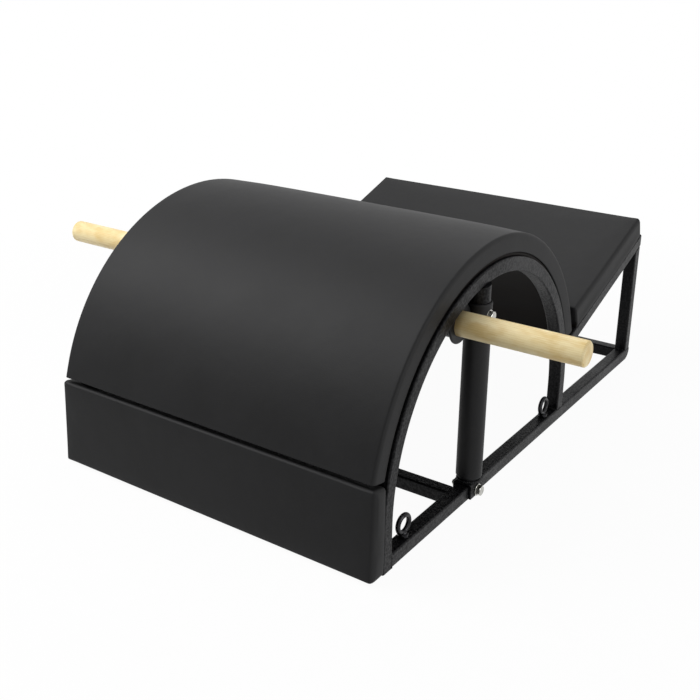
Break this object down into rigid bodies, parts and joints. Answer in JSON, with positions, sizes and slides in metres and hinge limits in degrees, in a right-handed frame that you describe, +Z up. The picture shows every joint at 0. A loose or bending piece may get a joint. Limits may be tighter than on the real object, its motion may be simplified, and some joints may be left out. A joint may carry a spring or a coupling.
{
  "type": "pilates spine corrector",
  "caption": "Spine corrector: black half barrel pad with an upright front pad and a sloping step pad on a square tube frame, and a wooden handle rod through it",
  "frame": {"origin": "underside centre of the middle cross rail, on the floor and midway between the sides", "axes": "+X from the front pad to the step, +Y from the near side to the far side, +Z up"},
  "size_m": [0.8622, 0.868, 0.3606],
  "materials": {
    "frame_coat": "satin black powder coat",
    "zinc": "bright zinc plate",
    "black_zinc": "black zinc plate",
    "sleeve_rubber": "matt black foam rubber",
    "bush_nylon": "matt black nylon",
    "vinyl": "matt black vinyl with a fine grain",
    "plywood": "birch plywood stained black",
    "beech": "pale beech, sanded and clear coated"
  },
  "bodies": {
    "frame": {"arch_tube_near": "frame_coat", "arch_tube_far": "frame_coat", "base_rail_near": "frame_coat", "base_rail_far": "frame_coat", "rear_post_near": "frame_coat", "rear_post_far": "frame_coat", "slope_rail_near": "frame_coat", "slope_rail_far": "frame_coat", "cross_rail_front": "frame_coat", "cross_rail_front_high": "frame_coat", "cross_rail_mid": "frame_coat", "cross_rail_rear": "frame_coat", "cross_rail_seat_low": "frame_coat", "cross_rail_seat_high": "frame_coat", "post_core_near": "frame_coat", "post_core_far": "frame_coat", "foot_bracket_near": "frame_coat", "foot_bracket_far": "frame_coat", "handle_socket_near": "frame_coat", "handle_socket_far": "frame_coat", "foot_bolt_near": "zinc", "foot_bolt_far": "zinc", "foot_washer_near": "zinc", "foot_washer_far": "zinc", "foot_nut_near": "zinc", "foot_nut_far": "zinc", "socket_bolt_near": "zinc", "socket_bolt_far": "zinc", "socket_washer_near": "zinc", "socket_washer_far": "zinc", "socket_nut_near": "zinc", "socket_nut_far": "zinc", "arch_screw_near_1": "black_zinc", "arch_screw_near_2": "black_zinc", "arch_screw_far_1": "black_zinc", "arch_screw_far_2": "black_zinc", "front_screw_1": "black_zinc", "front_screw_2": "black_zinc", "front_screw_3": "black_zinc", "front_screw_4": "black_zinc", "seat_screw_1": "black_zinc", "seat_screw_2": "black_zinc", "seat_screw_3": "black_zinc", "seat_screw_4": "black_zinc", "eye_ring_front_near": "black_zinc", "eye_ring_front_far": "black_zinc", "eye_ring_rear_near": "black_zinc", "eye_ring_rear_far": "black_zinc", "post_sleeve_near": "sleeve_rubber", "post_sleeve_far": "sleeve_rubber", "handle_bush_near": "bush_nylon", "handle_bush_far": "bush_nylon", "arch_pad": "vinyl", "front_pad": "vinyl", "seat_pad": "vinyl", "arch_board": "plywood", "front_board": "plywood", "seat_board": "plywood"},
    "handle": {"handle_rod": "beech"}
  },
  "joints": [
    {"name": "handle_slide", "type": "slide", "parent": "frame", "child": "handle", "axis": [0, 1, 0], "range_m": [-0.18, 0.15]}
  ]
}
